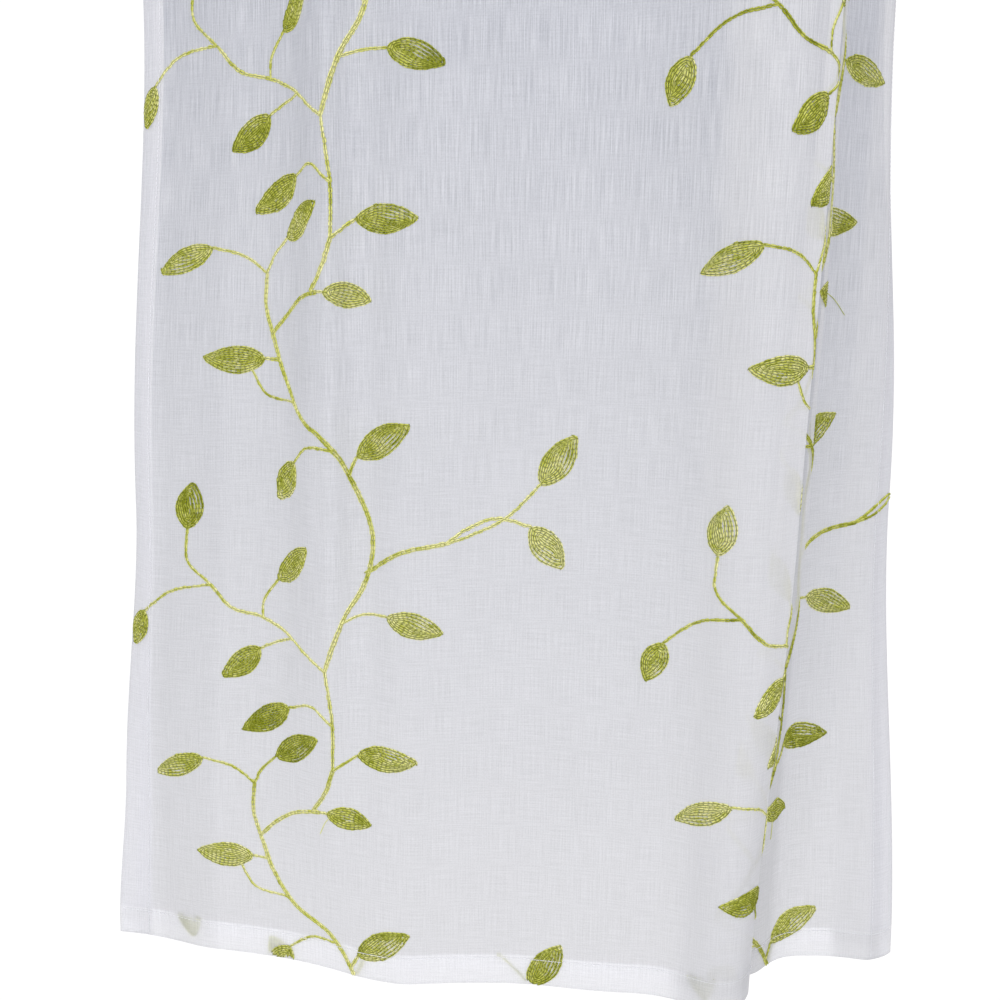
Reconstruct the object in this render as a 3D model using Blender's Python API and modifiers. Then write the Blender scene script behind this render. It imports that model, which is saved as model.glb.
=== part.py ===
"""Sheer voile curtain: one short embroidered panel, hanging in its own folds.

Metres, +Z up. The origin is the middle of the top edge, where the panel is held up. The face with
the embroidery looks towards -Y, +X is to the right as seen from the front, and the bottom hem is at
the panel's drop below the origin.

The cloth is one flat rectangle. A place on it is given by its distance along the top from the left
side edge and by its height. At every height the cloth runs across the panel at its true width, and
the FOLDS table says which way it is heading as it goes: 0 degrees runs straight across, 90 degrees
runs straight back, away from the viewer, and more than 90 doubles back behind the fold.
"""

import bmesh
import bpy
import numpy as np

# Finished size of the panel, laid flat
WIDTH = 0.600
DROP = 1.200

# Cloth and hems
CLOTH_THICKNESS = 0.0012
HEM_THICKNESS = 0.0022
SIDE_HEM = 0.021
BOTTOM_HEM = 0.020
TOP_HEM = 0.025

# The heights at which the FOLDS table gives the cloth's direction
FOLD_HEIGHTS = (0.0, -0.600, -0.900, -1.200)

# Each row is one place across the cloth. Its distance from the left side edge drifts from the first
# column, at the top edge, to the second, at the bottom hem. The last four columns are the cloth's
# direction there in degrees, at each of the fold heights.
# place_at_top, place_at_hem, then the headings from the top edge to the bottom hem
FOLDS = (
    (0.000, 0.000, 10, -49, -56, -10),  # left side edge
    (0.040, 0.040, -35, -22, -6, -25),
    (0.072, 0.072, 5, -11, 0, -11),
    (0.105, 0.105, -26, -37, -28, -14),
    (0.120, 0.120, -56, -61, -54, -18),  # narrow fold beside the first vine
    (0.146, 0.146, -50, -57, -39, -23),
    (0.160, 0.160, 43, 39, 39, -26),
    (0.186, 0.186, 22, -30, -35, -17),
    (0.212, 0.212, -24, -16, 7, 4),
    (0.250, 0.250, 20, -8, 1, 0),  # wide, nearly flat middle
    (0.300, 0.300, 36, -1, -7, -11),
    (0.340, 0.340, -30, -27, -16, -5),
    (0.374, 0.382, -55, -36, -36, -30),
    (0.437, 0.428, 20, 42, 39, 65),  # front edge of the deep fold
    (0.472, 0.443, 95, 78, 102, 165),
    (0.484, 0.454, 100, 110, 128, 144),
    (0.498, 0.471, 25, 42, 9, -7),  # the cloth comes out again behind it
    (0.519, 0.504, 20, 84, 88, 46),
    (0.542, 0.539, -10, 31, 25, 0),
    (0.552, 0.572, -15, 34, 9, -14),
    (0.570, 0.588, 60, 78, 39, 26),
    (0.600, 0.600, 75, 90, 62, 47),  # right side edge, curling back
)

# One line down the cloth is the guide for how the folds lie from top to hem: it leans a little to
# the left as it comes down, and the cloth there stays at the same depth.
GUIDE_PLACE = 0.190
GUIDE_HEIGHT = -0.680
GUIDE_X = -0.0795
GUIDE_LEAN = 0.0185
GUIDE_Y = -0.020

# The bottom hem: the left corner kicks outwards, and the part behind the deep fold hangs lower
CORNER_KICK = 0.007
CORNER_HEIGHT = 0.110
CORNER_REACH = 0.050
HEM_DIP = 0.005
DIP_FROM = 0.400
DIP_TO = 0.500
DIP_HEIGHT = 0.400

# Mesh
COLUMNS = 72
ROWS = 28
SECTION_STEPS = 1200
CURVE_CROWDING = 0.035

COLLECTION_NAME = "sheer_voile_curtain"
PANEL_NAME = "voile_panel"


def ease(t):
    """0 to 1 with a soft start and end."""
    t = np.clip(t, 0.0, 1.0)
    return t * t * (3.0 - 2.0 * t)


def folds_at(height):
    """The places of the FOLDS rows across the cloth, and its headings there in degrees."""
    rows = np.array(FOLDS, dtype=float)
    places = rows[:, 0] - (rows[:, 1] - rows[:, 0]) * height / DROP
    at_heights = rows[:, 2:]
    headings = at_heights[:, 0]
    for step, (upper, lower) in enumerate(zip(FOLD_HEIGHTS, FOLD_HEIGHTS[1:])):
        share = ease((upper - height) / (upper - lower))
        headings = headings + (at_heights[:, step + 1] - at_heights[:, step]) * share
    return places, headings


def heading(place, height):
    """The cloth's direction in radians at places across it, eased from one row to the next."""
    places, headings = folds_at(height)
    row = np.clip(np.searchsorted(places, place, side="right") - 1, 0, len(places) - 2)
    share = ease((place - places[row]) / (places[row + 1] - places[row]))
    return np.radians(headings[row] + (headings[row + 1] - headings[row]) * share)


def section(height):
    """The panel cut across at a height: places along the cloth, and their x and y."""
    step = WIDTH / SECTION_STEPS
    places = np.linspace(0.0, WIDTH, SECTION_STEPS + 1)
    middles = (places[:-1] + places[1:]) / 2.0
    way = heading(middles, height)
    x = np.concatenate([[0.0], np.cumsum(np.cos(way) * step)])
    y = np.concatenate([[0.0], np.cumsum(np.sin(way) * step)])
    guide_x = GUIDE_X + GUIDE_LEAN * (height - GUIDE_HEIGHT)
    x += guide_x - np.interp(GUIDE_PLACE, places, x)
    y += GUIDE_Y - np.interp(GUIDE_PLACE, places, y)
    return places, x, y


def point_on_cloth(place, height, cut):
    """The point in space at a place and height, read from the section cut there."""
    places, across, depth = cut
    x = np.interp(place, places, across)
    y = np.interp(place, places, depth)
    low = ease(1.0 - (height + DROP) / CORNER_HEIGHT)
    x -= CORNER_KICK * low * ease(1.0 - place / CORNER_REACH)
    lower = ease((place - DIP_FROM) / (DIP_TO - DIP_FROM))
    z = height - HEM_DIP * lower * ease(1.0 - (height + DROP) / DIP_HEIGHT)
    return x, y, z


def column_places():
    """Places of the mesh's columns, closer together where the cloth turns quickly."""
    places = np.linspace(0.0, WIDTH, SECTION_STEPS + 1)
    crowding = np.ones(SECTION_STEPS)
    for height in FOLD_HEIGHTS:
        turning = np.abs(np.diff(heading(places, height))) / (WIDTH / SECTION_STEPS)
        crowding += CURVE_CROWDING * turning
    filled = np.concatenate([[0.0], np.cumsum(crowding)])
    wanted = np.linspace(0.0, filled[-1], COLUMNS)
    columns = np.interp(wanted, filled, places)
    for hem_line in (SIDE_HEM, WIDTH - SIDE_HEM):
        columns[np.argmin(np.abs(columns - hem_line))] = hem_line
    return columns


def row_heights():
    """Heights of the mesh's rows, with one along each hem's inner edge."""
    body = np.linspace(-TOP_HEM, -(DROP - BOTTOM_HEM), ROWS)
    return np.concatenate([[0.0], body, [-DROP]])


def cloth_material():
    """Sheer off-white polyester voile."""
    material = bpy.data.materials.new("white_voile")
    material.use_nodes = True
    shader = material.node_tree.nodes["Principled BSDF"]
    shader.inputs["Base Color"].default_value = (0.80, 0.81, 0.86, 1.0)
    shader.inputs["Roughness"].default_value = 0.85
    shader.inputs["Metallic"].default_value = 0.0
    return material


def hang_panel(collection):
    """The panel: a flat grid hung in its folds, then given its thickness."""
    columns = column_places()
    heights = row_heights()
    cuts = [section(height) for height in heights]

    bm = bmesh.new()
    bmesh.ops.create_grid(bm, x_segments=len(columns) - 1, y_segments=len(heights) - 1, size=1.0)
    weight_layer = bm.verts.layers.deform.verify()
    for vert in bm.verts:
        column = round((vert.co.x + 1.0) / 2.0 * (len(columns) - 1))
        row = round((1.0 - vert.co.y) / 2.0 * (len(heights) - 1))
        place = columns[column]
        height = heights[row]
        vert.co = point_on_cloth(place, height, cuts[row])
        in_side_hem = place <= SIDE_HEM or place >= WIDTH - SIDE_HEM
        in_cross_hem = height >= -TOP_HEM or height <= -(DROP - BOTTOM_HEM)
        vert[weight_layer][0] = 1.0 if in_side_hem or in_cross_hem else 0.0

    mesh = bpy.data.meshes.new(PANEL_NAME)
    bm.to_mesh(mesh)
    bm.free()
    mesh.shade_smooth()
    mesh.materials.append(cloth_material())

    panel = bpy.data.objects.new(PANEL_NAME, mesh)
    collection.objects.link(panel)
    hems = panel.vertex_groups.new(name="hems")
    thicken = panel.modifiers.new("cloth_thickness", "SOLIDIFY")
    thicken.thickness = HEM_THICKNESS
    thicken.offset = 0.0
    thicken.use_even_offset = True
    thicken.vertex_group = hems.name
    thicken.thickness_vertex_group = CLOTH_THICKNESS / HEM_THICKNESS
    return panel


def build():
    for old in list(bpy.data.objects):
        bpy.data.objects.remove(old, do_unlink=True)
    collection = bpy.data.collections.new(COLLECTION_NAME)
    bpy.context.scene.collection.children.link(collection)
    hang_panel(collection)


build()
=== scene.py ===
"""Sheer voile curtain: its finish, its sewing and its light.

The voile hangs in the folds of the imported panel. It is one sheet, cut with its hem allowances and
turned under twice along every edge. The leafy vines are chain stitched in green yarn on its front,
and the hems are stitched down in white thread.

Every place on the cloth is given by two distances in metres: across, from the left finished edge,
and down, from the top finished edge. Both go past the finished edges where the cloth is turned
under. The front, with the vines, looks towards -Y.
"""

import math

import bpy
import numpy as np
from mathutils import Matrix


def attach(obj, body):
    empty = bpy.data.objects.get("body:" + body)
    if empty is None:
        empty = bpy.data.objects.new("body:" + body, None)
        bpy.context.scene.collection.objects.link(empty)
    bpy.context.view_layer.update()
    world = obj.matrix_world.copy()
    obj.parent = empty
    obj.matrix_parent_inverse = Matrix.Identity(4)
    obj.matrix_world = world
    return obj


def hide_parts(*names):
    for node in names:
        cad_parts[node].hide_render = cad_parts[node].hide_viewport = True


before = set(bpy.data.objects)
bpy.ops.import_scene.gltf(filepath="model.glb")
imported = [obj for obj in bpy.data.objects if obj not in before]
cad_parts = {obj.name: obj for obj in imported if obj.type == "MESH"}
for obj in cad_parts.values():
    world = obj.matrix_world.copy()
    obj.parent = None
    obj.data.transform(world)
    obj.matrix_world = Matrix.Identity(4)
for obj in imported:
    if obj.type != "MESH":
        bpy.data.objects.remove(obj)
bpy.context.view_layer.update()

MM = 0.001

# ---------------------------------------------------------------- the panel and its folds
WIDTH = 0.600
DROP = 1.200

# place_at_top, place_at_hem, then the cloth's heading in degrees at each of the fold heights. Most of
# the headings come from a least-squares fit to places that were read off the photo.
FOLD_HEIGHTS = (0.0, -0.600, -0.900, -1.200)
FOLDS = (
    (0.000, 0.000, 10, -49, -56, -10),
    (0.040, 0.040, -35, -22, -6, -25),
    (0.072, 0.072, 5, -11, 0, -11),
    (0.105, 0.105, -26, -37, -28, -14),
    (0.120, 0.120, -56, -61, -54, -18),
    (0.146, 0.146, -50, -57, -39, -23),
    (0.160, 0.160, 43, 39, 39, -26),
    (0.186, 0.186, 22, -30, -35, -17),
    (0.212, 0.212, -24, -16, 7, 4),
    (0.250, 0.250, 20, -8, 1, 0),
    (0.300, 0.300, 36, -1, -7, -11),
    (0.340, 0.340, -30, -27, -16, -5),
    (0.374, 0.382, -55, -36, -36, -30),
    (0.437, 0.428, 20, 42, 39, 65),
    (0.472, 0.443, 95, 78, 102, 165),
    (0.484, 0.454, 100, 110, 128, 144),
    (0.498, 0.471, 25, 42, 9, -7),
    (0.519, 0.504, 20, 84, 88, 46),
    (0.542, 0.539, -10, 31, 25, 0),
    (0.552, 0.572, -15, 34, 9, -14),
    (0.570, 0.588, 60, 78, 39, 26),
    (0.600, 0.600, 75, 90, 62, 47),
)
GUIDE_PLACE = 0.190
GUIDE_HEIGHT = -0.680
GUIDE_X = -0.0795
GUIDE_LEAN = 0.0185
GUIDE_Y = -0.020
CORNER_KICK = 0.007
CORNER_HEIGHT = 0.110
CORNER_REACH = 0.050
HEM_DIP = 0.005
DIP_FROM = 0.400
DIP_TO = 0.500
DIP_HEIGHT = 0.400
SECTION_STEPS = 1200
SECTION_COUNT = 601

# Soft creases: top and bottom ends as across and down, half width, and rise towards the viewer
CREASES = (
    (0.137, 0.58, 0.139, 0.98, 0.006, 0.0010),
    (0.076, 0.70, 0.071, 1.12, 0.009, 0.0012),
    (0.352, 0.90, 0.340, 1.20, 0.010, 0.0016),
    (0.262, 0.60, 0.251, 0.86, 0.009, 0.0010),
    (0.030, 0.62, 0.027, 1.18, 0.004, -0.0008),
    (0.205, 1.02, 0.214, 1.20, 0.007, 0.0010),
)

# ---------------------------------------------------------------- hems
SIDE_HEM = 0.021
BOTTOM_HEM = 0.020
TOP_HEM = 0.025
TURN_IN = 0.010
TURNED_DEPTH = 0.0017
TUCKED_DEPTH = 0.0009
FOLD_ROUNDING = 0.0007
CORNER_BULK = 1.2

CLOTH_COLUMNS = 190
CLOTH_ROWS = 350
CURVE_CROWDING = 0.02

# ---------------------------------------------------------------- the vine
REPEAT_DOWN = 0.320
REPEAT_ACROSS = 0.340
FIRST_FORK_DOWN = 0.155
REPEATS = range(-1, 5)

# Name, across, and how light its leaves and its stems are
VINES = (("left_vine", 0.0, 0.58, 0.78), ("right_vine", REPEAT_ACROSS, 0.62, 0.42))

# One repeat of the vine: millimetres across and up from where the hook leaf's stem leaves it. Its
# places were read off the photo, point by point, and rounded to 5 mm. Leaves run from base to tip,
# and bend to the left on the way there. Rows of stitches lie looser towards the tip on one side:
# loose is above zero where that is the left.
# base_across, base_up, tip_across, tip_up, width, bend, loose
LEAVES = (
    (60, 50, 25, 35, 15, 0, 0.35),
    (110, 55, 145, 75, 17, 0, -0.21),
    (150, 25, 180, 20, 15, 0.5, 0.07),
    (95, -15, 55, -15, 17, 1, 0.14),
    (120, -75, 105, -100, 18, 0, 0.17),
    (170, -70, 205, -50, 18, 0.5, -0.40),
    (280, -85, 300, -55, 18, -0.5, -0.42),
    (275, -110, 295, -135, 18, 0, -0.40),
    (190, -165, 225, -175, 16, 0.5, 0.38),
    (45, -120, 50, -90, 18, 0.5, -0.40),
    (15, -175, 5, -200, 16, -0.5, 0.21),
    (105, -150, 135, -125, 17, 0, 0),
    (95, -195, 70, -215, 17, 1, 0),
    (120, -230, 85, -250, 17, 0.5, 0.07),
    (170, -255, 210, -255, 17, 0, 0.31),
)

# Stems: rows of stitches side by side and the width of each in millimetres, then their points in
# millimetres across and up, read and rounded in the same way
STEMS = (
    (2, 1.50, (100, 0), (110, -25), (125, -45), (150, -60), (170, -90), (180, -120), (175, -145),
        (160, -170), (150, -200)),
    (1, 2.10, (150, -200), (155, -235), (155, -265)),
    (2, 1.40, (155, -265), (150, -280), (140, -295)),
    (2, 1.30, (100, 0), (95, 15), (95, 35)),
    (1, 1.80, (95, 35), (80, 45), (60, 50)),
    (1, 1.80, (95, 35), (100, 45), (110, 55)),
    (2, 1.30, (100, 0), (110, 10), (125, 20), (145, 25)),
    (1, 1.80, (145, 25), (150, 25)),
    (1, 2.10, (95, -15), (105, -15)),
    (1, 1.70, (85, -20), (95, -35), (120, -40)),
    (1, 1.80, (120, -75), (135, -65), (155, -65)),
    (1, 2.10, (170, -70), (165, -80)),
    (2, 1.35, (175, -140), (200, -125), (225, -120)),
    (1, 2.10, (225, -120), (240, -110), (255, -105), (275, -110)),
    (1, 1.90, (225, -120), (240, -115), (260, -105), (280, -85)),
    (1, 1.80, (45, -120), (45, -140), (60, -155)),
    (1, 2.15, (60, -155), (75, -170), (95, -175), (120, -185), (150, -200)),
    (1, 1.80, (15, -175), (35, -160), (60, -155)),
    (1, 1.80, (105, -150), (95, -165), (95, -175)),
    (1, 1.80, (95, -195), (105, -190), (120, -185)),
    (1, 1.80, (120, -230), (140, -225), (155, -235)),
    (1, 2.00, (170, -255), (155, -265)),
    (1, 1.80, (190, -165), (175, -165), (160, -170)),
)

# Loose ends of yarn, as points across and down on the panel, also read off the photo and rounded
LOOSE_ENDS = (
    ((0.525, 0.770), (0.535, 0.775), (0.545, 0.785)),
    ((0.155, 1.090), (0.150, 1.095), (0.145, 1.105)),
    ((0.445, 0.975), (0.445, 0.985), (0.440, 1.000)),
    ((0.495, 1.090), (0.500, 1.100), (0.500, 1.110)),
)

STITCH_LENGTH = 0.0029
ROW_WIDTH = 0.0016
YARN_RADIUS = 0.00047
LINK_OVERLAP = 1.36
LINK_OPENING = 0.00084
LINK_TAPER = 0.6
LINK_SIDES = 6
YARN_SIDES = 3
UNEVEN_PLACE = 0.00013
UNEVEN_SIZE = 0.08
UNEVEN_TONE = 0.17
LEAF_FULLNESS = 0.88
BASE_BLUNTNESS = 0.74
TIP_POINT = 0.10
BASE_STEP = 0.9
TIP_STEP = 1.15
NECK_OUT = 0.0008
NECK_IN = 0.0030
LOOSE_FROM = 0.25
LOOSE_OVER = 0.40
OUTLINE_POINTS = 80
MIDDLE_TRIM = 8
LAST_ROW_ROOM = 0.35
STITCH_REACH = 0.6
STITCH_SEED = 11

# In yarn radii: a link's lift, how high it lies, and how far it stays from a hem's outer fold
LINK_LIFT = 0.8
LINK_SEAT = 0.7
FOLD_CLEARANCE = 1.6

# How much painted shade darkens the yarn where one link holds the next, and between a link's strands
LEAF_PAINTED_SHADE = (0.60, 0.80)
STEM_PAINTED_SHADE = (0.34, 0.50)
JOINT_START = -0.26
BETWEEN_FROM = 0.38
BETWEEN_TO = 0.82

# Patches of lighter and darker yarn: how many to the metre, and how much they change its tone
YARN_PATCHES = ((95.0, 0.8), (13.0, -2.0))
OLIVE_YARN = (0.36, 0.39, 0.025, 1.0)
GREEN_YARN = (0.71, 0.73, 0.14, 1.0)
YELLOW_YARN = (0.97, 0.95, 0.44, 1.0)
# The painted shade's colour in the yarn's crevices
YARN_PAINTED_SHADE = (0.105, 0.130, 0.004, 1.0)

LOOSE_THREAD_RADIUS = 0.00022
LOOSE_THREAD_STEP = 0.0012
LOOSE_THREAD_OVERLAP = 1.2
LOOSE_THREAD_SIDES = 5
LOOSE_THREAD_TONE = 0.5

BACK_THREAD_RADIUS = 0.00036
BACK_THREAD_SIDES = 3
BACK_THREAD_SHARE = 0.95
BACK_THREAD_TONE = 0.50
BACK_THREAD_LIFT = 0.0004
TURNED_THREAD_LIFT = 0.0010

# ---------------------------------------------------------------- voile
VOILE_COVER = 0.63

# What makes the cover uneven: sizes across and down the cloth, and weights. The warp shows less, and
# the weft more, from EVEN_FROM down to EVEN_TO.
WARP_SIZE = (0.0006, 0.026)
WEFT_SIZE = (0.018, 0.0007)
SLUB_SIZE = (0.0010, 0.0010)
CLOUD_SIZE = (0.040, 0.060)
WARP_WEIGHT = 0.44
WARP_CHANGE = -0.25
WEFT_WEIGHT = 0.11
WEFT_CHANGE = 0.05
SLUB_WEIGHT = 0.12
CLOUD_WEIGHT = 0.05
EVEN_FROM = 0.70
EVEN_TO = 0.90
GLOW_SHARE = 0.30

# Pleats and folds, where the cloth lies denser, is painted darker, or both: middle across at the top
# and at the hem, half width, how much denser, and how much painted shade darkens it
PLEATS = (
    (0.050, 0.047, 0.017, 0.00, 0.06),
    (0.410, 0.402, 0.026, 0.24, 0.15),
    (0.512, 0.488, 0.020, 0.00, 0.16),
    (0.572, 0.572, 0.014, 0.18, 0.12),
)
PLEAT_INNER = 0.8
PLEAT_OUTER = 1.5
VOILE_COLOUR = (0.86, 0.86, 0.89, 1.0)
# Painted light: the bottom hem is lighter, for the light that its layers of cloth give back
HEM_PAINTED_LIGHT = (0.93, 0.93, 0.95, 1.0)
BLACK = (0.0, 0.0, 0.0, 1.0)

# ---------------------------------------------------------------- white hem stitching
HEM_STITCH = 0.0027
HEM_THREAD_RADIUS = 0.00020
HEM_STITCH_INSET = 0.0015
HEM_STITCH_SHARE = 0.9
HEM_STITCH_RISE = 0.0004
THREAD_COLOURS = ((0.80, 0.81, 0.86, 1.0), (0.92, 0.92, 0.94, 1.0))

# How high it lies: over the embroidery in yarn radii, and on the cloth in its own radii
OVER_YARN = 2.6
OVER_CLOTH = 0.5

# ---------------------------------------------------------------- camera and light
CAMERA_PLACE = (-0.0176, -0.693, -0.758)
CAMERA_PITCH = 11.03
CAMERA_LENS = 42.48
FLOOR_HEIGHT = -1.75
FLOOR_SIZE = 14.0
WHITE = (1.0, 1.0, 1.0, 1.0)
SOFT = (0.74, 0.74, 0.75, 1.0)
PALE = (0.70, 0.70, 0.71, 1.0)

# What is seen through the cloth: up in the air, at the floor's far edge and on the floor nearby
THROUGH_HIGH = (0.09, 0.12, 0.20, 1.0)
THROUGH_FAR = (0.30, 0.315, 0.355, 1.0)
THROUGH_NEAR = (0.52, 0.52, 0.525, 1.0)
HIGH_SLOPE = 0.22
FAR_SLOPE = -0.13
FAR_NEARNESS = 0.13
NEAR_NEARNESS = 0.62
WHITE_STRENGTH = 1.05

# Soft lights: name, place, what each faces, size, power and colour
LIGHTS = (
    ("key", (-1.2, -2.5, -0.1), (0.0, 0.0, -0.8), 1.2, 30.0, (1.0, 1.0, 1.0)),
    ("fill", (1.8, -1.8, -0.2), (0.0, 0.0, -0.8), 1.6, 14.0, (0.98, 0.98, 1.0)),
    ("back", (-0.8, 2.2, 0.2), (0.0, 0.0, -0.7), 1.8, 8.0, (1.0, 1.0, 1.0)),
)


def ease(t):
    """0 to 1 with a soft start and end."""
    t = np.clip(t, 0.0, 1.0)
    return t * t * (3.0 - 2.0 * t)


# ---------------------------------------------------------------- where the cloth lies
def folds_at(height):
    """The places of the FOLDS rows across the cloth, and its headings there in degrees."""
    rows = np.array(FOLDS, dtype=float)
    places = rows[:, 0] - (rows[:, 1] - rows[:, 0]) * height / DROP
    at_heights = rows[:, 2:]
    headings = at_heights[:, 0]
    for step, (upper, lower) in enumerate(zip(FOLD_HEIGHTS, FOLD_HEIGHTS[1:])):
        share = ease((upper - height) / (upper - lower))
        headings = headings + (at_heights[:, step + 1] - at_heights[:, step]) * share
    return places, headings


def heading(place, height):
    """The cloth's direction in radians at places across it, eased from one row to the next."""
    places, headings = folds_at(height)
    row = np.clip(np.searchsorted(places, place, side="right") - 1, 0, len(places) - 2)
    share = ease((place - places[row]) / (places[row + 1] - places[row]))
    return np.radians(headings[row] + (headings[row + 1] - headings[row]) * share)


def section(height):
    """The panel cut across at a height: the x and y of evenly spaced places."""
    step = WIDTH / SECTION_STEPS
    places = np.linspace(0.0, WIDTH, SECTION_STEPS + 1)
    middles = (places[:-1] + places[1:]) / 2.0
    way = heading(middles, height)
    x = np.concatenate([[0.0], np.cumsum(np.cos(way) * step)])
    y = np.concatenate([[0.0], np.cumsum(np.sin(way) * step)])
    guide_x = GUIDE_X + GUIDE_LEAN * (height - GUIDE_HEIGHT)
    x += guide_x - np.interp(GUIDE_PLACE, places, x)
    y += GUIDE_Y - np.interp(GUIDE_PLACE, places, y)
    return x, y


def crease_rise(across, down):
    """How far the creases lift the cloth towards the viewer."""
    rise = np.zeros(np.broadcast(across, down).shape)
    for top_across, top_down, low_across, low_down, half_width, height in CREASES:
        along = (down - top_down) / (low_down - top_down)
        line = top_across + (low_across - top_across) * along
        ends = ease(along * 4.0) * ease((1.0 - along) * 4.0)
        rise += height * ends * np.exp(-((across - line) / half_width) ** 2)
    return rise


def surface_normals(points):
    """Unit normals of a grid of points, towards the cloth's front."""
    across = np.gradient(points, axis=1)
    down = np.gradient(points, axis=0)
    normals = np.cross(across, -down)
    return normals / np.linalg.norm(normals, axis=2, keepdims=True)


def hang_cloth():
    """The panel's middle surface as a grid of points, and its normals."""
    heights = np.linspace(0.0, -DROP, SECTION_COUNT)
    places = np.linspace(0.0, WIDTH, SECTION_STEPS + 1)
    points = np.zeros((SECTION_COUNT, SECTION_STEPS + 1, 3))
    for row, height in enumerate(heights):
        points[row, :, 0], points[row, :, 1] = section(height)
    across, height = np.meshgrid(places, heights)
    low = ease(1.0 - (height + DROP) / CORNER_HEIGHT)
    points[:, :, 0] -= CORNER_KICK * low * ease(1.0 - across / CORNER_REACH)
    lower = ease((across - DIP_FROM) / (DIP_TO - DIP_FROM))
    points[:, :, 2] = height - HEM_DIP * lower * ease(1.0 - (height + DROP) / DIP_HEIGHT)
    points += surface_normals(points) * crease_rise(across, -height)[:, :, None]
    return points, surface_normals(points)


SURFACE, NORMALS = hang_cloth()


def read_grid(grid, across, down):
    """The grid's values at places on the finished panel, read between its lines."""
    column = np.clip(across / WIDTH, 0.0, 1.0) * SECTION_STEPS
    row = np.clip(down / DROP, 0.0, 1.0) * (SECTION_COUNT - 1)
    left = np.minimum(column.astype(int), SECTION_STEPS - 1)
    upper = np.minimum(row.astype(int), SECTION_COUNT - 2)
    u = (column - left)[..., None]
    v = (row - upper)[..., None]
    top = grid[upper, left] * (1.0 - u) + grid[upper, left + 1] * u
    low = grid[upper + 1, left] * (1.0 - u) + grid[upper + 1, left + 1] * u
    return top * (1.0 - v) + low * v


def turn_under(inside, hem):
    """Where turned-under cloth lies. inside is its distance in from the finished edge, below zero
    once it is turned. Gives its distance in, how far behind the front it lies, and its way up."""
    lying = np.where(inside > -hem, np.abs(inside), 2.0 * hem + inside)
    turned = ease((FOLD_ROUNDING - inside) / (2.0 * FOLD_ROUNDING))
    tucked = ease((FOLD_ROUNDING - inside - hem) / (2.0 * FOLD_ROUNDING))
    depth = TURNED_DEPTH * turned + (TUCKED_DEPTH - TURNED_DEPTH) * tucked
    way_up = 1.0 - 2.0 * turned + 2.0 * tucked
    return lying, depth, way_up


def on_cloth(across, down):
    """Points of the cloth, its hems turned under, at distances from its finished edges."""
    across = np.asarray(across, dtype=float)
    down = np.asarray(down, dtype=float)
    from_left = across < WIDTH / 2.0
    from_top = down < DROP / 2.0
    side, side_depth, _ = turn_under(np.where(from_left, across, WIDTH - across), SIDE_HEM)
    cross_hem = np.where(from_top, TOP_HEM, BOTTOM_HEM)
    cross, cross_depth, way_up = turn_under(np.where(from_top, down, DROP - down), cross_hem)
    lying_across = np.where(from_left, side, WIDTH - side)
    lying_down = np.where(from_top, cross, DROP - cross)
    bulk = 1.0 + CORNER_BULK * ease((SIDE_HEM - side) / SIDE_HEM * 6.0)
    depth = cross_depth * bulk + side_depth * way_up
    points = read_grid(SURFACE, lying_across, lying_down)
    return points - read_grid(NORMALS, lying_across, lying_down) * depth[..., None]


def frame_on_cloth(across, down, way):
    """Points on the cloth, the unit way along it, and the unit way out of its embroidered face."""
    reach = 0.0006
    centre = on_cloth(across, down)
    to_right = on_cloth(across + reach, down) - on_cloth(across - reach, down)
    to_top = on_cloth(across, down - reach) - on_cloth(across, down + reach)
    out = np.cross(to_right, to_top)
    out /= np.linalg.norm(out, axis=-1, keepdims=True)
    along = to_right * way[:, :1] - to_top * way[:, 1:]
    along -= out * np.sum(along * out, axis=-1, keepdims=True)
    along /= np.linalg.norm(along, axis=-1, keepdims=True)
    return centre, along, out


# ---------------------------------------------------------------- the voile
def cloth_lines(length, near_hem, far_hem, count, turning=None):
    """Places of the mesh's lines along one way of the cloth, from raw edge to raw edge."""
    even = np.linspace(0.0, length, SECTION_STEPS + 1)
    crowding = np.ones(SECTION_STEPS) if turning is None else 1.0 + CURVE_CROWDING * turning
    filled = np.concatenate([[0.0], np.cumsum(crowding)])
    body = np.interp(np.linspace(0.0, filled[-1], count), filled, even)
    lines = [body]
    for edge, hem, inwards in ((0.0, near_hem, 1.0), (length, far_hem, -1.0)):
        folds = np.concatenate([
            FOLD_ROUNDING * np.array([1.0, 0.5, -0.5, -1.0]),
            FOLD_ROUNDING * np.array([1.0, 0.5, 0.0, -0.5, -1.0]) - hem,
            np.linspace(-0.2 * hem, -0.85 * hem, 5),
            np.linspace(-0.3, -1.0, 4) * TURN_IN - hem,
        ])
        lines.append(edge + inwards * folds)
        lines.append([edge + inwards * hem])
    return np.unique(np.round(np.concatenate(lines), 5))


def grid_mesh(name, points):
    """A mesh of four-sided faces over a grid of points, facing the cloth's front."""
    rows, columns = points.shape[:2]
    corner = (np.arange(rows - 1)[:, None] * columns + np.arange(columns - 1)).ravel()
    faces = np.stack([corner, corner + columns, corner + columns + 1, corner + 1], axis=1)
    mesh = bpy.data.meshes.new(name)
    mesh.from_pydata(points.reshape(-1, 3), [], faces)
    mesh.shade_smooth()
    return mesh


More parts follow.
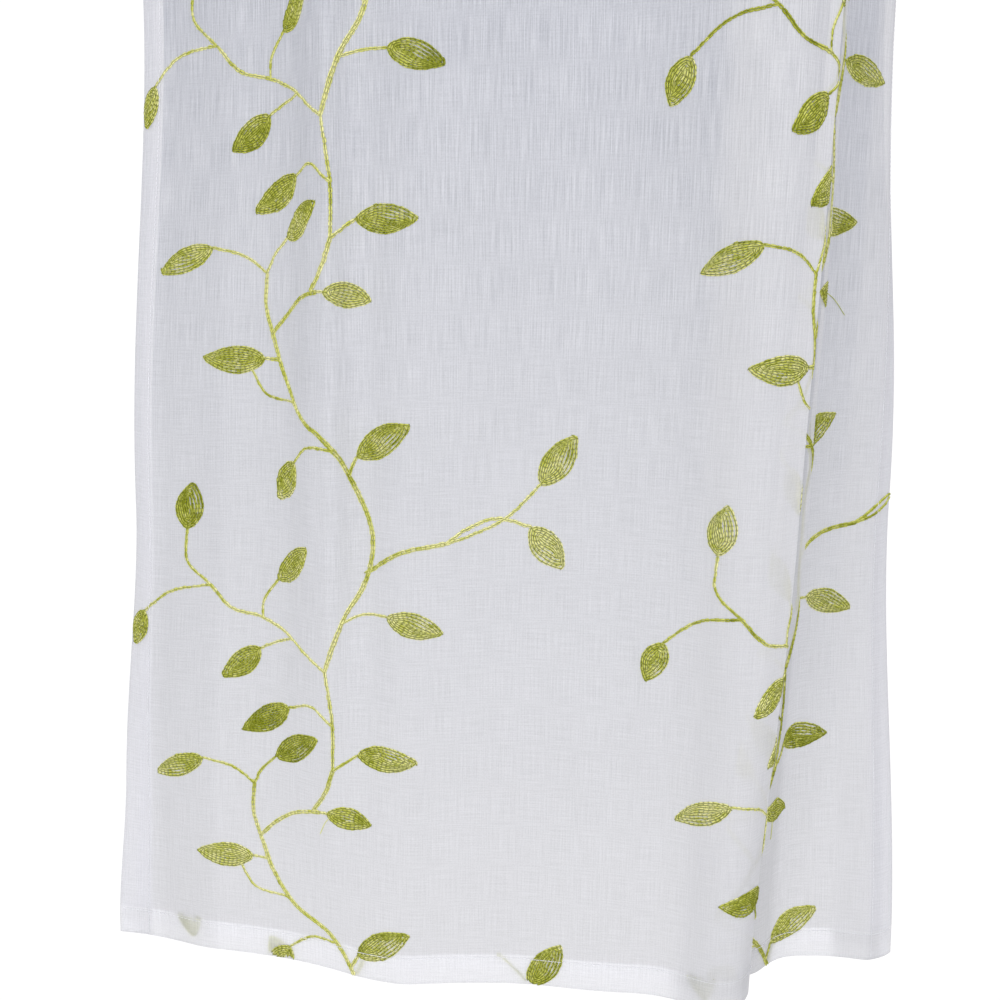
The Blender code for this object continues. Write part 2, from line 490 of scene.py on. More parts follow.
def voile_sheet(material):
    """The panel as one sheet of voile with its hems turned under."""
    places = np.linspace(0.0, WIDTH, SECTION_STEPS + 1)
    turning = np.zeros(SECTION_STEPS)
    for height in FOLD_HEIGHTS:
        turning += np.abs(np.diff(heading(places, height))) / (WIDTH / SECTION_STEPS) / len(FOLD_HEIGHTS)
    across = cloth_lines(WIDTH, SIDE_HEM, SIDE_HEM, CLOTH_COLUMNS, turning)
    down = cloth_lines(DROP, TOP_HEM, BOTTOM_HEM, CLOTH_ROWS)
    grid_across, grid_down = np.meshgrid(across, down)
    mesh = grid_mesh("voile", on_cloth(grid_across, grid_down))
    flat = np.stack([grid_across.ravel(), grid_down.ravel()], axis=1)
    corners = np.zeros(len(mesh.loops), dtype=np.int32)
    mesh.loops.foreach_get("vertex_index", corners)
    weave = mesh.uv_layers.new(name="weave")
    weave.data.foreach_set("uv", flat[corners].ravel())
    mesh.materials.append(material)
    sheet = bpy.data.objects.new("voile_sheet", mesh)
    bpy.context.scene.collection.objects.link(sheet)
    return sheet


# ---------------------------------------------------------------- rows of stitches
def smooth_path(points, step=0.0004):
    """A smooth line through points, as close even steps."""
    points = np.asarray(points, dtype=float)
    knots = np.concatenate([[0.0], np.cumsum(np.linalg.norm(np.diff(points, axis=0), axis=1))])
    slopes = np.gradient(points, knots, axis=0, edge_order=1)
    fine = np.arange(0.0, knots[-1], step)
    piece = np.clip(np.searchsorted(knots, fine, side="right") - 1, 0, len(knots) - 2)
    span = (knots[piece + 1] - knots[piece])[:, None]
    t = ((fine - knots[piece])[:, None]) / span
    start = points[piece] * (2 * t**3 - 3 * t**2 + 1) + slopes[piece] * span * (t**3 - 2 * t**2 + t)
    end = points[piece + 1] * (3 * t**2 - 2 * t**3) + slopes[piece + 1] * span * (t**3 - t**2)
    return start + end


def beside(path, distance):
    """The line that runs beside a path, at a distance from it."""
    way = np.gradient(path, axis=0)
    way /= np.linalg.norm(way, axis=1, keepdims=True)
    return path + distance * np.stack([-way[:, 1], way[:, 0]], axis=1)


def stitches_along(path, stitch):
    """Middles and directions of even stitches along a path."""
    lengths = np.concatenate([[0.0], np.cumsum(np.linalg.norm(np.diff(path, axis=0), axis=1))])
    count = max(1, round(lengths[-1] / stitch))
    ends = np.linspace(0.0, lengths[-1], count + 1)
    corners = np.stack([np.interp(ends, lengths, path[:, i]) for i in (0, 1)], axis=1)
    way = np.diff(corners, axis=0)
    way /= np.maximum(np.linalg.norm(way, axis=1, keepdims=True), 1e-9)
    return (corners[1:] + corners[:-1]) / 2.0, way


def leaf_rows(base, tip, width, bend, loose, draw):
    """The rows of a leaf: its outline, the same outline further and further in, its middle, and a
    short neck where its stem comes in. Each row's stitches begin somewhere else along it."""
    length = np.linalg.norm(tip - base)
    way = (tip - base) / length
    side = np.array([way[1], -way[0]])
    share = (1.0 - np.cos(np.linspace(0.0, math.pi, OUTLINE_POINTS))) / 2.0
    shape = np.sin(math.pi * share**LEAF_FULLNESS) ** (BASE_BLUNTNESS + TIP_POINT * share)
    rows = []
    inset = ROW_WIDTH / 2.0
    while inset < width / 2.0 - LAST_ROW_ROOM * ROW_WIDTH:
        start = BASE_STEP * inset
        along = start + (length - start - TIP_STEP * inset) * share
        drift = loose * (inset - ROW_WIDTH / 2.0) * ease((share - LOOSE_FROM) / LOOSE_OVER)
        half = (width / 2.0 - inset) * shape
        x = np.concatenate([along, along[::-1]])
        y = np.concatenate([half - drift, (-half - drift)[::-1]])
        y += bend * (1.0 - (2.0 * x / length - 1.0) ** 2)
        row = base + way * x[:, None] + side * y[:, None]
        middle = (row[:OUTLINE_POINTS] + row[OUTLINE_POINTS:][::-1]) / 2.0
        first = draw.integers(0, len(row))
        rows.append(np.concatenate([row[first:], row[:first + 1]]))
        inset += ROW_WIDTH
    rows.append(middle[MIDDLE_TRIM:-MIDDLE_TRIM])
    rows.append(base + way * np.array([[-NECK_OUT], [NECK_IN]]))
    return rows


def leaf_paths(vine_across, draw):
    """The lines that the rows of the leaves follow on the flat cloth, with their widths."""
    flip = np.array([MM, -MM])
    paths = []
    for repeat in REPEATS:
        origin = np.array([vine_across, FIRST_FORK_DOWN + REPEAT_DOWN * repeat])
        for base_across, base_up, tip_across, tip_up, width, bend, loose in LEAVES:
            base = origin + flip * (base_across, base_up)
            tip = origin + flip * (tip_across, tip_up)
            rows = leaf_rows(base, tip, width * MM, bend * MM, loose, draw)
            paths += [(row, ROW_WIDTH) for row in rows]
    return paths


def stem_paths(vine_across):
    """The lines that the rows of the stems follow on the flat cloth, with their widths."""
    flip = np.array([MM, -MM])
    paths = []
    for repeat in REPEATS:
        origin = np.array([vine_across, FIRST_FORK_DOWN + REPEAT_DOWN * repeat])
        for rows, width, *points in STEMS:
            path = smooth_path(origin + flip * np.array(points))
            offsets = (np.arange(rows) - (rows - 1) / 2.0) * width * MM
            paths += [(beside(path, offset), width * MM) for offset in offsets]
    return paths


def stitches_on_cloth(paths, stitch):
    """Middles, directions and widths of the stitches on the cloth along all the paths. None goes
    over a hem's outer fold. The cloth tucked in inside a hem, or turned under at the right, has
    none."""
    rows = [stitches_along(path, stitch) for path, _ in paths]
    middles = np.concatenate([middle for middle, _ in rows])
    ways = np.concatenate([way for _, way in rows])
    widths = np.concatenate([np.full(len(row[0]), path[1]) for row, path in zip(rows, paths)])
    across, down = middles.T
    there = (across > -SIDE_HEM) & (across < WIDTH)
    there &= (down > -TOP_HEM) & (down < DROP + BOTTOM_HEM)
    for place, way, fold in ((across, ways[:, 0], 0.0), (across, ways[:, 0], WIDTH),
                             (down, ways[:, 1], 0.0), (down, ways[:, 1], DROP)):
        room = STITCH_REACH * stitch * np.abs(way) + FOLD_CLEARANCE * YARN_RADIUS
        there &= np.abs(place - fold) > room
    return middles[there], ways[there], widths[there]


# ---------------------------------------------------------------- geometry nodes
def add_node(tree, kind, **settings):
    """A node with its settings, and its inputs by name in inputs={}."""
    node = tree.nodes.new(kind)
    inputs = settings.pop("inputs", {})
    for name, value in settings.items():
        setattr(node, name, value)
    for name, value in inputs.items():
        if isinstance(value, bpy.types.NodeSocket):
            tree.links.new(value, node.inputs[name])
        else:
            node.inputs[name].default_value = value
    return node


def maths(tree, operation, *values):
    """The result of a sum on numbers or on the outputs of nodes."""
    inputs = dict(enumerate(values))
    return add_node(tree, "ShaderNodeMath", operation=operation, inputs=inputs).outputs[0]


def new_tree(name, sizes):
    """A geometry tree with a geometry, a material and named sizes as its inputs."""
    tree = bpy.data.node_groups.new(name, "GeometryNodeTree")
    tree.interface.new_socket("Geometry", in_out="OUTPUT", socket_type="NodeSocketGeometry")
    tree.interface.new_socket("Points", in_out="INPUT", socket_type="NodeSocketGeometry")
    tree.interface.new_socket("Material", in_out="INPUT", socket_type="NodeSocketMaterial")
    for size, example in sizes.items():
        kind = "NodeSocketInt" if isinstance(example, int) else "NodeSocketFloat"
        tree.interface.new_socket(size, in_out="INPUT", socket_type=kind)
    return tree, tree.nodes.new("NodeGroupInput"), tree.nodes.new("NodeGroupOutput")


def place_stitches(tree, given, result, stitch):
    """Puts the stitch on every point, turned along the row and out of the cloth."""
    along = add_node(tree, "GeometryNodeInputNamedAttribute", data_type="FLOAT_VECTOR",
                     inputs={"Name": "along"})
    out = add_node(tree, "GeometryNodeInputNamedAttribute", data_type="FLOAT_VECTOR",
                   inputs={"Name": "out"})
    size = add_node(tree, "GeometryNodeInputNamedAttribute", data_type="FLOAT_VECTOR",
                    inputs={"Name": "size"})
    turn = add_node(tree, "FunctionNodeAxesToRotation", primary_axis="Z", secondary_axis="X",
                    inputs={"Primary Axis": out.outputs["Attribute"],
                            "Secondary Axis": along.outputs["Attribute"]})
    placed = add_node(tree, "GeometryNodeInstanceOnPoints",
                      inputs={"Points": given.outputs["Points"], "Instance": stitch,
                              "Rotation": turn.outputs["Rotation"],
                              "Scale": size.outputs["Attribute"]})
    real = add_node(tree, "GeometryNodeRealizeInstances",
                    inputs={"Geometry": placed.outputs["Instances"]})
    smooth = add_node(tree, "GeometryNodeSetShadeSmooth",
                      inputs={"Geometry": real.outputs["Geometry"]})
    finished = add_node(tree, "GeometryNodeSetMaterial",
                        inputs={"Geometry": smooth.outputs["Geometry"],
                                "Material": given.outputs["Material"]})
    tree.links.new(finished.outputs["Geometry"], result.inputs["Geometry"])


def chain_stitch_tree():
    """A link of chain stitch: a loop of yarn, narrower at its start, inside the link before it.
    Each of its points keeps how far along the link it is, from -0.5 to 0.5, and how near the
    link's middle line, from 1 on it to about 0 at the outside."""
    sizes = {"Link Length": 0.0, "Link Opening": 0.0, "Lift": 0.0, "Yarn Radius": 0.0,
             "Link Sides": 0, "Yarn Sides": 0}
    tree, given, result = new_tree("chain_stitch", sizes)
    ring = add_node(tree, "GeometryNodeCurvePrimitiveCircle",
                    inputs={"Resolution": given.outputs["Link Sides"], "Radius": 0.5})
    spot = tree.nodes.new("GeometryNodeInputPosition")
    parts = add_node(tree, "ShaderNodeSeparateXYZ", inputs={0: spot.outputs["Position"]})
    x = parts.outputs["X"]
    y = parts.outputs["Y"]
    long = maths(tree, "MULTIPLY", x, given.outputs["Link Length"])
    taper = maths(tree, "MULTIPLY_ADD", x, LINK_TAPER, 1.0)
    wide = maths(tree, "MULTIPLY", y, given.outputs["Link Opening"])
    wide = maths(tree, "MULTIPLY", wide, taper)
    high = maths(tree, "MULTIPLY", x, given.outputs["Lift"])
    shape = add_node(tree, "ShaderNodeCombineXYZ", inputs={"X": long, "Y": wide, "Z": high})
    loop = add_node(tree, "GeometryNodeSetPosition",
                    inputs={"Geometry": ring.outputs["Curve"], "Position": shape.outputs["Vector"]})
    round_yarn = add_node(tree, "GeometryNodeCurvePrimitiveCircle",
                          inputs={"Resolution": given.outputs["Yarn Sides"],
                                  "Radius": given.outputs["Yarn Radius"]})
    link = add_node(tree, "GeometryNodeCurveToMesh",
                    inputs={"Curve": loop.outputs["Geometry"],
                            "Profile Curve": round_yarn.outputs["Curve"]})
    along = maths(tree, "DIVIDE", x, given.outputs["Link Length"])
    marked = add_node(tree, "GeometryNodeStoreNamedAttribute", data_type="FLOAT", domain="POINT",
                      inputs={"Geometry": link.outputs["Mesh"], "Name": "along_link",
                              "Value": along})
    outwards = maths(tree, "DIVIDE", maths(tree, "ABSOLUTE", y), given.outputs["Link Opening"])
    inwards = maths(tree, "SUBTRACT", 1.0, outwards)
    marked = add_node(tree, "GeometryNodeStoreNamedAttribute", data_type="FLOAT", domain="POINT",
                      inputs={"Geometry": marked.outputs["Geometry"], "Name": "near_middle",
                              "Value": inwards})
    place_stitches(tree, given, result, marked.outputs["Geometry"])
    return tree


def plain_stitch_tree():
    """A plain stitch: a short length of thread that dips into the cloth at both ends."""
    sizes = {"Stitch Length": 0.0, "Rise": 0.0, "Thread Radius": 0.0, "Arch Steps": 0,
             "Thread Sides": 0}
    tree, given, result = new_tree("plain_stitch", sizes)
    half = maths(tree, "MULTIPLY", given.outputs["Stitch Length"], 0.5)
    back = maths(tree, "MULTIPLY", given.outputs["Stitch Length"], -0.5)
    start = add_node(tree, "ShaderNodeCombineXYZ", inputs={"X": back})
    end = add_node(tree, "ShaderNodeCombineXYZ", inputs={"X": half})
    top = add_node(tree, "ShaderNodeCombineXYZ", inputs={"Z": given.outputs["Rise"]})
    arch = add_node(tree, "GeometryNodeCurvePrimitiveBezierSegment", mode="POSITION",
                    inputs={"Resolution": given.outputs["Arch Steps"], "Start": start.outputs[0],
                            "Start Handle": top.outputs[0], "End Handle": top.outputs[0],
                            "End": end.outputs[0]})
    round_thread = add_node(tree, "GeometryNodeCurvePrimitiveCircle",
                            inputs={"Resolution": given.outputs["Thread Sides"],
                                    "Radius": given.outputs["Thread Radius"]})
    stitch = add_node(tree, "GeometryNodeCurveToMesh",
                      inputs={"Curve": arch.outputs["Curve"],
                              "Profile Curve": round_thread.outputs["Curve"]})
    place_stitches(tree, given, result, stitch.outputs["Mesh"])
    return tree


def sew(name, tree, material, sizes, spots):
    """One piece of sewing: the tree's stitch on every spot, as a plain mesh."""
    points = bpy.data.meshes.new(name + "_points")
    points.from_pydata(spots["place"], [], [])
    for key in ("along", "out", "size"):
        layer = points.attributes.new(key, "FLOAT_VECTOR", "POINT")
        layer.data.foreach_set("vector", spots[key].ravel())
    layer = points.attributes.new("tone", "FLOAT", "POINT")
    layer.data.foreach_set("value", spots["tone"])
    holder = bpy.data.objects.new(name + "_points", points)
    bpy.context.scene.collection.objects.link(holder)
    modifier = holder.modifiers.new("sewing", "NODES")
    modifier.node_group = tree
    for item in tree.interface.items_tree:
        if item.in_out == "INPUT" and item.name in sizes:
            modifier[item.identifier] = sizes[item.name]
        if item.in_out == "INPUT" and item.name == "Material":
            modifier[item.identifier] = material
    graph = bpy.context.evaluated_depsgraph_get()
    mesh = bpy.data.meshes.new_from_object(holder.evaluated_get(graph))
    mesh.name = name
    bpy.data.objects.remove(holder)
    piece = bpy.data.objects.new(name, mesh)
    bpy.context.scene.collection.objects.link(piece)
    return piece


# ---------------------------------------------------------------- the embroidery
def embroidery(leaf_yarn, stem_yarn):
    """The vines, in pieces by vine, kind and half of the drop."""
    tree = chain_stitch_tree()
    sizes = {"Link Length": STITCH_LENGTH * LINK_OVERLAP, "Link Opening": LINK_OPENING,
             "Lift": YARN_RADIUS * LINK_LIFT, "Yarn Radius": YARN_RADIUS,
             "Link Sides": LINK_SIDES, "Yarn Sides": YARN_SIDES}
    draw = np.random.default_rng(STITCH_SEED)
    pieces = []
    for vine, vine_across, leaf_lightness, stem_lightness in VINES:
        kinds = (("leaves", leaf_paths(vine_across, draw), leaf_yarn, leaf_lightness),
                 ("stems", stem_paths(vine_across), stem_yarn, stem_lightness))
        for kind, paths, material, lightness in kinds:
            middles, ways, widths = stitches_on_cloth(paths, STITCH_LENGTH)
            middles = middles + draw.normal(0.0, UNEVEN_PLACE, middles.shape)
            place, along, out = frame_on_cloth(middles[:, 0], middles[:, 1], ways)
            place = place + out * YARN_RADIUS * LINK_SEAT
            size = 1.0 + draw.normal(0.0, UNEVEN_SIZE, place.shape)
            size[:, 1] *= widths / ROW_WIDTH
            tone = lightness + draw.normal(0.0, UNEVEN_TONE, len(place))
            upper = middles[:, 1] < DROP / 2.0
            for half, there in (("upper", upper), ("lower", ~upper)):
                spots = {"place": place[there], "along": along[there], "out": out[there],
                         "size": size[there], "tone": tone[there]}
                pieces.append(sew(f"{vine}_{kind}_{half}", tree, material, sizes, spots))
    return pieces


def threads_behind(material):
    """The yarn's under thread, which runs from stitch to stitch on the back of the cloth."""
    tree = plain_stitch_tree()
    sizes = {"Stitch Length": STITCH_LENGTH * BACK_THREAD_SHARE, "Rise": 0.0,
             "Thread Radius": BACK_THREAD_RADIUS, "Arch Steps": 1, "Thread Sides": BACK_THREAD_SIDES}
    draw = np.random.default_rng(STITCH_SEED)
    pieces = []
    for vine, vine_across, *_ in VINES:
        paths = leaf_paths(vine_across, draw) + stem_paths(vine_across)
        middles, ways, _ = stitches_on_cloth(paths, STITCH_LENGTH)
        place, along, out = frame_on_cloth(middles[:, 0], middles[:, 1], ways)
        turned = (middles[:, 0] < 0.0) | (middles[:, 1] < 0.0) | (middles[:, 1] > DROP)
        lift = np.where(turned, TURNED_THREAD_LIFT, BACK_THREAD_LIFT)
        spots = {"place": place - out * lift[:, None], "along": along, "out": -out,
                 "size": np.ones(place.shape), "tone": np.full(len(place), BACK_THREAD_TONE)}
        pieces.append(sew(f"{vine}_under_thread", tree, material, sizes, spots))
    return pieces


def loose_ends(material):
    """A few loose ends of yarn that lie on the front of the cloth."""
    paths = [(smooth_path(points), LOOSE_THREAD_RADIUS) for points in LOOSE_ENDS]
    middles, ways, _ = stitches_on_cloth(paths, LOOSE_THREAD_STEP)
    place, along, out = frame_on_cloth(middles[:, 0], middles[:, 1], ways)
    spots = {"place": place + out * YARN_RADIUS, "along": along, "out": out,
             "size": np.ones(place.shape), "tone": np.full(len(place), LOOSE_THREAD_TONE)}
    sizes = {"Stitch Length": LOOSE_THREAD_STEP * LOOSE_THREAD_OVERLAP,
             "Rise": LOOSE_THREAD_RADIUS, "Thread Radius": LOOSE_THREAD_RADIUS,
             "Arch Steps": 2, "Thread Sides": LOOSE_THREAD_SIDES}
    return sew("loose_yarn_ends", plain_stitch_tree(), material, sizes, spots)


def hem_stitching(material):
    """White stitching along the inner edge of each hem, on the front and over the embroidery."""
    inset = HEM_STITCH_INSET
    left = SIDE_HEM - inset
    right = WIDTH - left
    top = TOP_HEM - inset
    low = DROP - BOTTOM_HEM + inset
    lines = ([(left, 0.0), (left, DROP)], [(right, 0.0), (right, DROP)],
             [(0.0, top), (WIDTH, top)], [(0.0, low), (WIDTH, low)])
    paths = [(np.array(line), HEM_THREAD_RADIUS) for line in lines]
    middles, ways, _ = stitches_on_cloth(paths, HEM_STITCH)
    place, along, out = frame_on_cloth(middles[:, 0], middles[:, 1], ways)
    draw = np.random.default_rng(STITCH_SEED)
    vines = [leaf_paths(vine_across, draw) + stem_paths(vine_across) for _, vine_across, *_ in VINES]
    sewn = stitches_on_cloth(vines[0] + vines[1], STITCH_LENGTH)[0]
    over = np.array([np.min(np.sum((sewn - middle) ** 2, axis=1)) < ROW_WIDTH**2 for middle in middles])
    lift = np.where(over, OVER_YARN * YARN_RADIUS, OVER_CLOTH * HEM_THREAD_RADIUS)
    spots = {"place": place + out * lift[:, None], "along": along, "out": out,
             "size": np.ones(place.shape), "tone": np.ones(len(place))}
    sizes = {"Stitch Length": HEM_STITCH * HEM_STITCH_SHARE, "Rise": HEM_STITCH_RISE,
             "Thread Radius": HEM_THREAD_RADIUS, "Arch Steps": 4, "Thread Sides": 4}
    return sew("hem_stitching", plain_stitch_tree(), material, sizes, spots)


# ---------------------------------------------------------------- materials
def new_material(name):
    """An empty node material, and its output."""
    material = bpy.data.materials.new(name)
    material.use_nodes = True
    material.node_tree.nodes.clear()
    return material, material.node_tree, material.node_tree.nodes.new("ShaderNodeOutputMaterial")


def mixed(tree, share, first, second):
    """A colour part of the way from one to another."""
    return add_node(tree, "ShaderNodeMix", data_type="RGBA",
                    inputs={0: share, "A": first, "B": second}).outputs["Result"]


def streaks(tree, flat, across_size, down_size, detail=2.0):
    """Noise on the flat cloth, drawn out to different sizes across and down."""
    spread = add_node(tree, "ShaderNodeMapping", inputs={
        "Vector": flat, "Scale": (1.0 / across_size, 1.0 / down_size, 1.0)})
    return add_node(tree, "ShaderNodeTexNoise", noise_dimensions="2D", inputs={
        "Vector": spread.outputs["Vector"], "Scale": 1.0, "Detail": detail}).outputs["Fac"]


def sheer_voile():
    """Sheer polyester voile: fine uneven threads both ways, with light between them."""
    material, tree, output = new_material("sheer_voile")
    flat = add_node(tree, "ShaderNodeUVMap", uv_map="weave").outputs["UV"]
    places = add_node(tree, "ShaderNodeSeparateXYZ", inputs={0: flat})
    across = places.outputs["X"]
    down = places.outputs["Y"]
    low = add_node(tree, "ShaderNodeMapRange", interpolation_type="SMOOTHSTEP", inputs={
        "Value": down, "From Min": EVEN_FROM, "From Max": EVEN_TO}).outputs["Result"]
    warp_weight = maths(tree, "MULTIPLY_ADD", low, WARP_CHANGE, WARP_WEIGHT)
    weft_weight = maths(tree, "MULTIPLY_ADD", low, WEFT_CHANGE, WEFT_WEIGHT)
    cover = VOILE_COVER
    for part, weight in ((streaks(tree, flat, *WARP_SIZE), warp_weight),
                         (streaks(tree, flat, *WEFT_SIZE), weft_weight),
                         (streaks(tree, flat, *SLUB_SIZE, 1.0), SLUB_WEIGHT),
                         (streaks(tree, flat, *CLOUD_SIZE), CLOUD_WEIGHT)):
        cover = maths(tree, "MULTIPLY_ADD", maths(tree, "SUBTRACT", part, 0.5), weight, cover)
    # Painted shade: darker bands in the pleats, and the deep fold's shadow just right of its edge
    painted_shade = 0.0
    for at_top, at_hem, half_width, denser, shade_amount in PLEATS:
        middle = maths(tree, "MULTIPLY_ADD", down, (at_hem - at_top) / DROP, at_top)
        away = maths(tree, "ABSOLUTE", maths(tree, "SUBTRACT", across, middle))
        pleat = add_node(tree, "ShaderNodeMapRange", interpolation_type="SMOOTHSTEP", inputs={
            "Value": away, "From Min": PLEAT_INNER * half_width,
            "From Max": PLEAT_OUTER * half_width, "To Min": 1.0, "To Max": 0.0}).outputs["Result"]
        cover = maths(tree, "MULTIPLY_ADD", pleat, denser, cover)
        painted_shade = maths(tree, "MULTIPLY_ADD", pleat, shade_amount, painted_shade)
    # Painted light: the bottom hem is lighter, for the light that its layers of cloth give back
    in_hem = maths(tree, "GREATER_THAN", down, DROP - BOTTOM_HEM)
    colour = mixed(tree, painted_shade, mixed(tree, in_hem, VOILE_COLOUR, HEM_PAINTED_LIGHT), BLACK)
    bump = add_node(tree, "ShaderNodeBump", inputs={
        "Strength": 0.20, "Distance": 0.0003, "Height": cover})
    threads = add_node(tree, "ShaderNodeBsdfPrincipled", inputs={
        "Base Color": colour, "Roughness": 0.8, "Specular IOR Level": 0.25,
        "Normal": bump.outputs[0]})
    glow = add_node(tree, "ShaderNodeBsdfTranslucent", inputs={"Color": colour})
    cloth = add_node(tree, "ShaderNodeMixShader", inputs={
        0: GLOW_SHARE, 1: threads.outputs[0], 2: glow.outputs[0]})
    gaps = add_node(tree, "ShaderNodeBsdfTransparent")
    sheer = add_node(tree, "ShaderNodeMixShader", inputs={
        0: cover, 1: gaps.outputs[0], 2: cloth.outputs[0]})
    tree.links.new(sheer.outputs[0], output.inputs["Surface"])
    return material


def green_yarn(name, joint_shade, between_shade):
    """Variegated embroidery yarn, yellow green to olive, with painted shade where one link holds the
    next and between a link's two strands."""
    material, tree, output = new_material(name)
    shade = add_node(tree, "ShaderNodeAttribute", attribute_name="tone").outputs["Fac"]
    along_link = add_node(tree, "ShaderNodeAttribute", attribute_name="along_link").outputs["Fac"]
    inwards = add_node(tree, "ShaderNodeAttribute", attribute_name="near_middle").outputs["Fac"]
    spot = add_node(tree, "ShaderNodeTexCoord").outputs["Object"]
    for scale, weight in YARN_PATCHES:
        patches = add_node(tree, "ShaderNodeTexNoise", inputs={
            "Vector": spot, "Scale": scale, "Detail": 1.0}).outputs["Fac"]
        shade = maths(tree, "MULTIPLY_ADD", maths(tree, "SUBTRACT", patches, 0.5), weight, shade)
    colours = add_node(tree, "ShaderNodeValToRGB", inputs={"Fac": shade})
    ramp = colours.color_ramp
    ramp.elements[0].color = OLIVE_YARN
    ramp.elements[1].color = YELLOW_YARN
    middle = ramp.elements.new(0.5)
    middle.color = GREEN_YARN
    # Painted shade: the yarn is darker where one link holds the next and between its two strands
    joint = add_node(tree, "ShaderNodeMapRange", interpolation_type="SMOOTHSTEP", inputs={
        "Value": along_link, "From Min": JOINT_START, "From Max": 0.0,
        "To Min": joint_shade, "To Max": 0.0})
    between = add_node(tree, "ShaderNodeMapRange", inputs={
        "Value": inwards, "From Min": BETWEEN_FROM, "From Max": BETWEEN_TO,
        "To Min": 0.0, "To Max": between_shade})
    crevice_shade = maths(tree, "MAXIMUM", joint.outputs["Result"], between.outputs["Result"])
    yarn = add_node(tree, "ShaderNodeBsdfPrincipled", inputs={
        "Base Color": mixed(tree, crevice_shade, colours.outputs["Color"], YARN_PAINTED_SHADE),
        "Roughness": 0.6, "Specular IOR Level": 0.15})
    tree.links.new(yarn.outputs[0], output.inputs["Surface"])
    return material


def white_thread():
    """Fine white sewing thread."""
    material, tree, output = new_material("white_thread")
    spot = add_node(tree, "ShaderNodeTexCoord").outputs["Object"]
    twist = add_node(tree, "ShaderNodeTexNoise", inputs={"Vector": spot, "Scale": 2000.0})
    thread = add_node(tree, "ShaderNodeBsdfPrincipled", inputs={
        "Base Color": mixed(tree, twist.outputs["Fac"], *THREAD_COLOURS), "Roughness": 0.55})
    tree.links.new(thread.outputs[0], output.inputs["Surface"])
    return material


# ---------------------------------------------------------------- studio
def camera():
    """The camera, in front of the cloth's lower half and looking a little down."""
    data = bpy.data.cameras.new("camera")
    data.sensor_width = 36.0
    data.lens = CAMERA_LENS
    data.clip_start = 0.01
    view = bpy.data.objects.new("camera", data)
    view.location = CAMERA_PLACE
    view.rotation_euler = (math.radians(90.0 - CAMERA_PITCH), 0.0, 0.0)
    bpy.context.scene.collection.objects.link(view)
    bpy.context.scene.camera = view


def area_light(name, place, target, size, power, colour):
    """A soft light that faces a target."""
    data = bpy.data.lights.new(name, "AREA")
    data.size = size
    data.energy = power
    data.color = colour
    lamp = bpy.data.objects.new(name, data)
    lamp.location = place
    way = np.array(target) - np.array(place)
    lamp.rotation_euler = (math.acos(-way[2] / np.linalg.norm(way)), 0.0,
                           math.atan2(way[1], way[0]) - math.pi / 2.0)
    bpy.context.scene.collection.objects.link(lamp)


def blend(tree, value, low, high, low_colour, high_colour):
    """A colour that goes from one to another as a value goes from low to high."""
    share = add_node(tree, "ShaderNodeMapRange", inputs={
        "Value": value, "From Min": low, "From Max": high})
    return mixed(tree, share.outputs["Result"], low_colour, high_colour)


def by_ray(tree, seen, seen_through, otherwise):
    """One shader where the camera sees it plainly, one where it looks through the cloth at it, and
    one for the light that it gives."""
    path = tree.nodes.new("ShaderNodeLightPath")
    through = maths(tree, "GREATER_THAN", path.outputs["Transparent Depth"], 0.5)
    looked_at = add_node(tree, "ShaderNodeMixShader", inputs={
        0: through, 1: seen.outputs[0], 2: seen_through.outputs[0]})
    return add_node(tree, "ShaderNodeMixShader", inputs={
        0: path.outputs["Is Camera Ray"], 1: otherwise.outputs[0], 2: looked_at.outputs[0]})


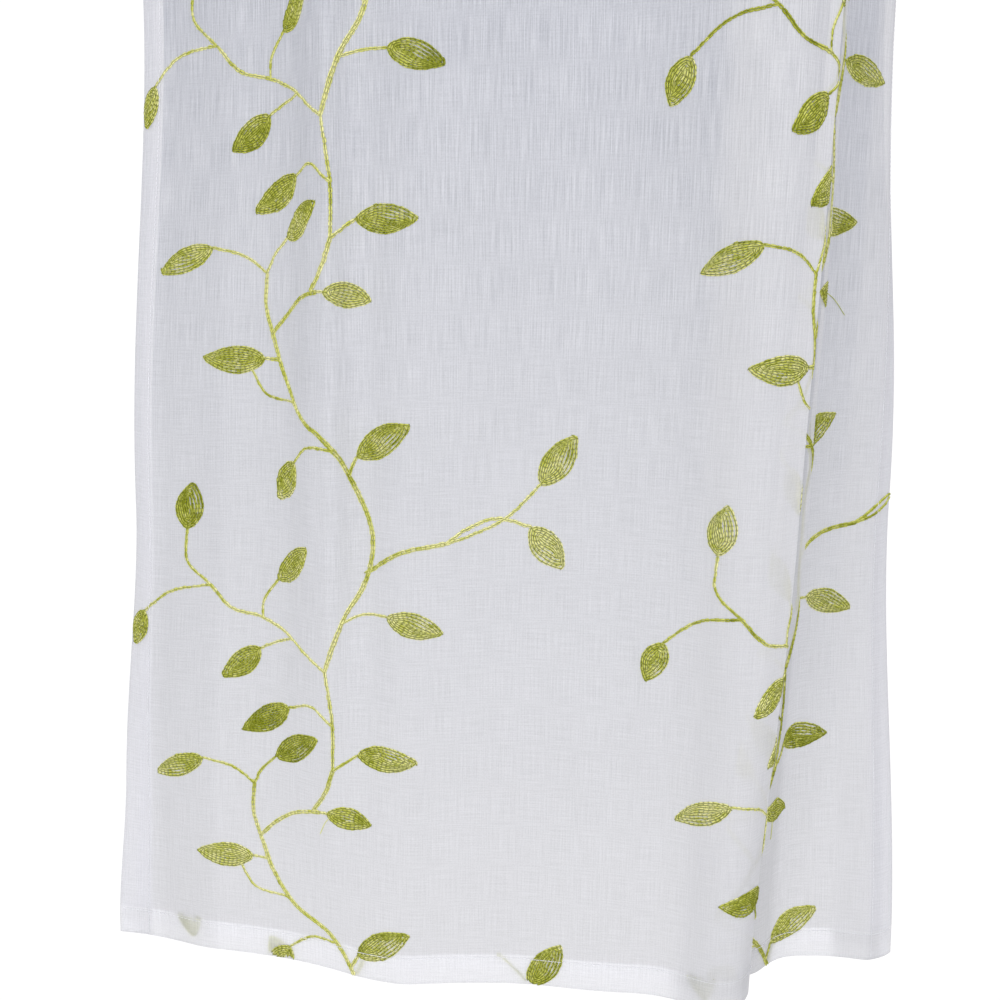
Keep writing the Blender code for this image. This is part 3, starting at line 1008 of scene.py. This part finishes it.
def studio():
    """White surroundings that are dimmer seen through the cloth, a pale floor and soft light."""
    world = bpy.data.worlds.new("studio")
    bpy.context.scene.world = world
    world.use_nodes = True
    tree = world.node_tree
    tree.nodes.clear()
    white = add_node(tree, "ShaderNodeBackground", inputs={
        "Color": WHITE, "Strength": WHITE_STRENGTH})
    way = tree.nodes.new("ShaderNodeTexCoord").outputs["Generated"]
    slope = add_node(tree, "ShaderNodeSeparateXYZ", inputs={0: way}).outputs["Z"]
    seen = blend(tree, slope, FAR_SLOPE, HIGH_SLOPE, THROUGH_FAR, THROUGH_HIGH)
    dim = add_node(tree, "ShaderNodeBackground", inputs={"Color": seen})
    soft = add_node(tree, "ShaderNodeBackground", inputs={"Color": SOFT})
    output = tree.nodes.new("ShaderNodeOutputWorld")
    tree.links.new(by_ray(tree, white, dim, soft).outputs[0], output.inputs["Surface"])

    mesh = bpy.data.meshes.new("floor")
    half = FLOOR_SIZE / 2.0
    mesh.from_pydata([(-half, -half, FLOOR_HEIGHT), (half, -half, FLOOR_HEIGHT),
                      (half, half, FLOOR_HEIGHT), (-half, half, FLOOR_HEIGHT)], [], [(0, 1, 2, 3)])
    material, tree, output = new_material("pale_floor")
    white = add_node(tree, "ShaderNodeEmission", inputs={
        "Color": WHITE, "Strength": WHITE_STRENGTH})
    spot = tree.nodes.new("ShaderNodeTexCoord").outputs["Object"]
    back = add_node(tree, "ShaderNodeSeparateXYZ", inputs={0: spot}).outputs["Y"]
    nearness = maths(tree, "DIVIDE", 1.0, maths(tree, "SUBTRACT", back, CAMERA_PLACE[1]))
    seen = blend(tree, nearness, FAR_NEARNESS, NEAR_NEARNESS, THROUGH_FAR, THROUGH_NEAR)
    dim = add_node(tree, "ShaderNodeEmission", inputs={"Color": seen})
    pale = add_node(tree, "ShaderNodeBsdfDiffuse", inputs={"Color": PALE})
    tree.links.new(by_ray(tree, white, dim, pale).outputs[0], output.inputs["Surface"])
    mesh.materials.append(material)
    floor = bpy.data.objects.new("floor", mesh)
    bpy.context.scene.collection.objects.link(floor)

    for light in LIGHTS:
        area_light(*light)
    bpy.context.scene.view_settings.view_transform = "Standard"
    bpy.context.scene.cycles.transparent_max_bounces = 32


def main():
    """Makes every piece with its material, attaches each to the root body, and hides the imported panel
    that the sheet replaces.
    """
    camera()
    studio()
    sheet = voile_sheet(sheer_voile())
    leaf_yarn = green_yarn("green_leaf_yarn", *LEAF_PAINTED_SHADE)
    stem_yarn = green_yarn("green_stem_yarn", *STEM_PAINTED_SHADE)
    sewing = embroidery(leaf_yarn, stem_yarn) + threads_behind(leaf_yarn) + [loose_ends(leaf_yarn)]
    hems = hem_stitching(white_thread())
    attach(sheet, "root")
    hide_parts("voile_panel")
    for piece in sewing:
        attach(piece, "root")
    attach(hems, "root")


main()
